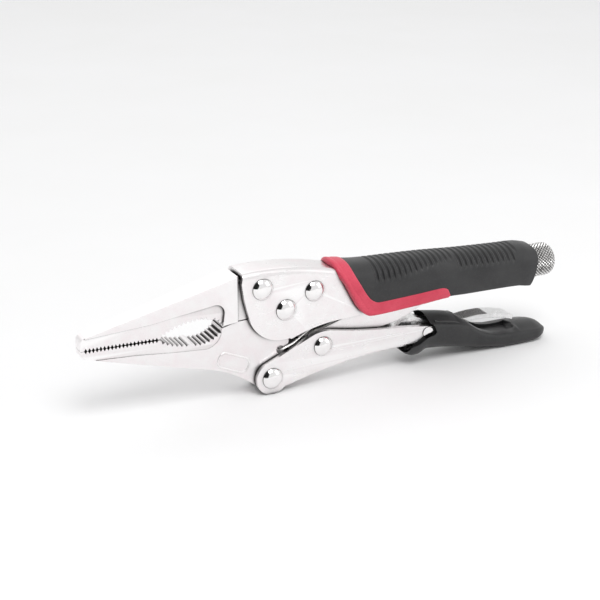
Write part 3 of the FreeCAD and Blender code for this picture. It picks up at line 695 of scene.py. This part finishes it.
def low_inside(kind, value, outside, slot):
    """The inner wall: close round the lever under the ring, a narrow trough behind it."""
    reach = outside[-1].x
    closed = 1.0 - ease(reach, 60.4, 66.0)
    solid = ease(reach, 92.2, 93.9)
    deck = outside[-1].z
    wall = lerp(4.5, 7.7, closed)
    wall = min(wall, low_half(reach) - 0.6)
    under = LEVER_UNDERSIDE(reach) - 0.15
    floor = lerp(SLOT_FLOOR(reach), under, closed)
    thick = lerp(0.8, 1.9, closed)
    levels = [(slot, deck - thick * 0.35), (lerp(wall, slot, 0.55), deck - thick),
              (wall, deck - thick - 0.5), (wall, lerp(deck - thick - 0.5, floor + 0.4, 0.35)),
              (wall, lerp(deck - thick - 0.5, floor + 0.4, 0.7)), (wall - 0.05, floor + 0.4),
              (wall - 0.6, floor), (wall * 0.5, floor), (0.0, floor)]
    inside = []
    for index, (y, z) in enumerate(levels):
        x = reach
        if kind == "rim":
            match = outside[int(lerp(len(outside) - 8, 0, index / (len(levels) - 1)))]
            x = match.x + 0.4 * (1 - value)
            if index >= len(levels) - 4:
                z = min(z, LEVER_UNDERSIDE(x) - 0.15)
                z = max(z, LOW_BOTTOM(x) + 1.1)
        if solid > 0:
            y = lerp(y, 0.0, solid)
            z = lerp(z, outside[-1].z - 0.02, solid)
        inside.append(Vector((x, y, z)))
    return inside


# ---------------------------------------------------------------- knob, screw, spring
KNOB_FRONT = 98.0
KNOB_REAR = 112.5
KNOB_RADIUS = 7.7
KNURL_COUNT = 30
KNURL_DEPTH = 0.62


def knurl(angle, x, strength):
    """Depth below the rim of a diamond knurl at an angle and a place along the knob."""
    turns = angle / (2 * math.pi) * KNURL_COUNT
    pitch = 2 * math.pi * KNOB_RADIUS / KNURL_COUNT
    first = abs((turns + x / pitch) % 1.0 - 0.5) * 2
    second = abs((turns - x / pitch) % 1.0 - 0.5) * 2
    return KNURL_DEPTH * strength * max(first, second) ** 1.3


def build_knob():
    """Adjusting knob with a diamond knurl over its rim and rear shoulder."""
    sides = KNURL_COUNT * 8
    profile = [(KNOB_FRONT + 0.02, 3.1, 0.0), (KNOB_FRONT, 5.0, 0.0), (KNOB_FRONT, 6.6, 0.0)]
    profile += [(x, KNOB_RADIUS - 0.9 * (1 - ease(x, 98, 99.2)), ease(x, 98.4, 99.6))
                for x in spread(98.2, 109.0, 66)]
    for angle in spread(0.04, QUARTER, 16):
        x = 109.0 + 3.3 * math.sin(angle)
        radius = KNOB_RADIUS - 3.1 * (1 - math.cos(angle))
        profile.append((x, radius, 1.0 - ease(angle, 0.75, 1.35)))
    profile += [(KNOB_REAR - 0.16, 4.2, 0.0), (KNOB_REAR - 0.06, 3.6, 0.0), (KNOB_REAR, 2.0, 0.0),
                (KNOB_REAR, 0.4, 0.0)]
    verts = []
    for x, radius, strength in profile:
        for side in range(sides):
            angle = 2 * math.pi * side / sides
            r = radius - (knurl(angle, x, strength) if strength > 0 else 0.0)
            verts.append(Vector((x, r * math.sin(angle), SCREW_HEIGHT + r * math.cos(angle))))
    faces = grid_faces(len(profile), sides, closed_columns=True)
    faces.append(tuple(range(len(verts) - sides, len(verts))))
    return make_piece("knob", verts, faces, "knob", knob_steel,
                      ("adjusting_knob",), 50.0)


def build_screw():
    """Adjusting screw with its cut thread and rounded tip."""
    pitch = 1.25
    sides = 40
    tip, end = 58.8, 107.4
    rows = [(tip + 0.02, 0.5), (tip + 0.2, 1.6), (tip + 0.7, 2.6), (tip + 1.5, 3.4)]
    xs = spread(tip + 2.0, 97.0, 245)
    verts = []
    for x, radius in rows:
        verts += screw_ring(x, [radius] * sides)
    for x in xs:
        ring = []
        for side in range(sides):
            phase = (x / pitch - side / sides) % 1.0
            ring.append(3.98 - 0.62 * min(abs(phase - 0.5) * 2.4, 1.0))
        verts += screw_ring(x, ring)
    verts += screw_ring(97.6, [2.95] * sides)
    verts += screw_ring(end, [2.95] * sides)
    count = len(rows) + len(xs) + 2
    faces = grid_faces(count, sides, closed_columns=True)
    faces.append(tuple(reversed(range(sides))))
    faces.append(tuple(range(len(verts) - sides, len(verts))))
    return make_piece("screw_thread", verts, faces, "screw", screw_steel,
                      ("adjusting_screw",), 30.0)


def screw_ring(x, radii):
    ring = []
    for side, radius in enumerate(radii):
        angle = 2 * math.pi * side / len(radii)
        ring.append(Vector((x, radius * math.sin(angle), SCREW_HEIGHT + radius * math.cos(angle))))
    return ring


SPRING_HOLE = Vector((-26.1, 0.0, 18.7))
SPRING_ANCHOR = Vector((24.0, 0.0, 36.3))
WIRE = 0.46


def build_spring():
    """Close-wound extension spring with a long straight front hook, stretched between its ends."""
    along = (SPRING_ANCHOR - SPRING_HOLE).normalized()
    across = Vector((0.0, 1.0, 0.0))
    up = across.cross(along)
    start = SPRING_HOLE + along * 17.5
    finish = SPRING_ANCHOR - along * 3.5
    length = (finish - start).length
    coil = 1.9
    turns = round(length / 1.42)
    path = [SPRING_HOLE - across * 2.5, SPRING_HOLE - across * 5.2,
            SPRING_HOLE - across * 5.72 + along * 0.4, SPRING_HOLE - across * 5.75 + along * 2.0,
            SPRING_HOLE - across * 5.75 + along * 6.0,
            start - across * 2.2 - along * 1.0]
    for index in range(turns * 16 + 1):
        angle = 2 * math.pi * index / 16
        centre = start + along * (length * index / (turns * 16))
        path.append(centre + (-across * math.cos(angle) + up * math.sin(angle)) * coil)
    path += [finish - across * 1.6 + along * 1.2, SPRING_ANCHOR - across * 1.35 - along * 0.3,
             SPRING_ANCHOR - across * 1.0, SPRING_ANCHOR + across * 1.3]
    verts, faces = tube(path, WIRE, 10)
    spring = make_piece("coil_spring", verts, faces, None, spring_steel,
                        ("return_spring",), 60.0)
    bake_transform(spring)
    return spring


# ---------------------------------------------------------------- small details
def build_thumb_knurl():
    """Knurled pad pressed into the front of the release lever's thumb plate."""
    crest = smooth_line([(59.4, 15.05), (60, 15.03), (63, 15.62), (66, 16.04), (69, 16.31),
                         (72, 16.42), (75, 16.38), (78, 16.18), (81, 15.83)])
    columns = spread(-3.9, 3.9, 97)
    rows = spread(59.4, 78.6, 230)
    verts = []
    for x in rows:
        fade = ease(x, 59.4, 60.4) * (1 - ease(x, 77.2, 78.6))
        for y in columns:
            edge = 1 - ease(abs(y), 3.3, 3.9)
            first = abs(((x + y) / 1.15) % 1.0 - 0.5) * 2
            second = abs(((x - y) / 1.15) % 1.0 - 0.5) * 2
            high = 0.04 + 0.34 * (1 - max(first, second) ** 1.4)
            verts.append(Vector((x, y, crest(x) + high * fade * edge - 0.03 * (1 - fade * edge))))
    faces = grid_faces(len(rows), len(columns))
    below = len(verts)
    rim = (list(range(len(columns)))
           + [row * len(columns) + len(columns) - 1 for row in range(1, len(rows))]
           + [(len(rows) - 1) * len(columns) + column for column in range(len(columns) - 2, -1, -1)]
           + [row * len(columns) for row in range(len(rows) - 2, 0, -1)])
    verts += [verts[index] - Vector((0.0, 0.0, 0.5)) for index in rim]
    for index in range(len(rim)):
        after = (index + 1) % len(rim)
        faces.append((rim[after], rim[index], below + index, below + after))
    return make_piece("thumb_knurl", verts, faces, "release", knurl_steel,
                      (), 50.0)


def build_jaw_cartouche():
    """Plain oval rim pressed up on the lower jaw's near side; its field is left blank."""
    centre = Vector((-47.6, -5.2, 16.7))
    along = Vector((0.915, 0.0, -0.40)).normalized()
    up = Vector((0.40, 0.0, 0.915)).normalized()
    half_long, half_high, corner = 7.2, 3.3, 2.6
    path = []
    for quadrant, (sx, sz) in enumerate(((1, 1), (-1, 1), (-1, -1), (1, -1))):
        for step in range(7):
            angle = quadrant * QUARTER + step / 6 * QUARTER
            x = sx * (half_long - corner) + corner * math.cos(angle)
            z = sz * (half_high - corner) + corner * math.sin(angle)
            path.append((x, z))
    profile = [(-0.42, 0.0), (-0.24, -0.16), (0.0, -0.22), (0.24, -0.16), (0.42, 0.0),
               (0.3, 0.3), (-0.3, 0.3)]
    verts = []
    count = len(path)
    for index, (x, z) in enumerate(path):
        x0, z0 = path[index - 1]
        x1, z1 = path[(index + 1) % count]
        tangent = Vector((x1 - x0, 0.0, z1 - z0)).normalized()
        out = along * tangent.z - up * tangent.x
        base = centre + along * x + up * z
        for shift, height in profile:
            verts.append(base + out * shift + Vector((0.0, height, 0.0)))
    faces = grid_faces(count, len(profile), closed_columns=True, closed_rows=True)
    return make_piece("jaw_cartouche", verts, faces, "jaw", jaw_steel, (), 60.0)


def soften(name, material, width):
    """Give a CAD node its material and small rounded edges."""
    node = nodes[name]
    node.data.materials.clear()
    node.data.materials.append(material)
    weld = node.modifiers.new("weld", "WELD")
    weld.merge_threshold = 2e-6
    flat = node.modifiers.new("flat", "DECIMATE")
    flat.decimate_type = "DISSOLVE"
    flat.angle_limit = math.radians(0.4)
    bevel = node.modifiers.new("edges", "BEVEL")
    bevel.width = width * MM
    bevel.segments = 2
    bevel.limit_method = "ANGLE"
    bevel.angle_limit = math.radians(35)
    bevel.miter_outer = "MITER_ARC"
    bevel.use_clamp_overlap = True
    bevel.harden_normals = False
    weighted = node.modifiers.new("normals", "WEIGHTED_NORMAL")
    weighted.keep_sharp = True


# ---------------------------------------------------------------- the tool
body_steel = plated_steel("body_steel", (0.90, 0.885, 0.885), 0.30, 0.55)
jaw_steel = plated_steel("jaw_steel", (0.88, 0.86, 0.862), 0.34, 0.8)
release_steel = worn_steel("release_steel", (0.80, 0.80, 0.80), (0.12, 0.11, 0.10), 0.28, 400.0)
knurl_steel = worn_steel("knurl_steel", (0.36, 0.355, 0.35), (0.03, 0.03, 0.03), 0.34, 600.0)
rivet_steel = polished_steel("rivet_steel", (0.93, 0.915, 0.915), 0.09)
screw_steel = worn_steel("screw_steel", (0.66, 0.65, 0.63), (0.10, 0.09, 0.08), 0.32, 500.0)
knob_steel = worn_steel("knob_steel", (0.76, 0.75, 0.74), (0.02, 0.02, 0.02), 0.24, 500.0)
spring_steel = worn_steel("spring_steel", (0.86, 0.85, 0.83), (0.10, 0.09, 0.08), 0.26, 500.0,
                          shaded=False)
red = rubber("red_rubber", (0.60, 0.034, 0.075), (0.70, 0.07, 0.12), (0.52, 0.035, 0.07),
             0.42, 0.35, 0.08)
black = rubber("black_rubber", (0.014, 0.014, 0.015), (0.030, 0.030, 0.031),
               (0.045, 0.045, 0.045), 0.43, 0.6, 0.08)

add_camera()
add_world()
add_area_light("key", (-0.10, -0.55, 0.95), 0.55, 0.55, 4.8)
add_area_light("fill", (0.9, -0.6, 0.5), 0.8, 0.8, 0.92)
add_area_light("back", (0.1, 0.9, 0.8), 1.2, 0.6, 1.15)
add_floor()
bpy.context.scene.view_settings.view_transform = "Standard"

soften("body_channel", body_steel, 0.28)
soften("upper_jaw", jaw_steel, 0.16)
soften("lower_jaw", jaw_steel, 0.16)
soften("lower_lever", body_steel, 0.28)
soften("toggle_link", body_steel, 0.22)
soften("release_lever", release_steel, 0.22)
for name, node in nodes.items():
    if "rivet" in name or name == "release_pin":
        node.data.materials.clear()
        node.data.materials.append(rivet_steel)

build_grip_cover()
build_grip_base()
build_lower_grip()
build_knob()
build_screw()
build_spring()
build_thumb_knurl()
build_jaw_cartouche()
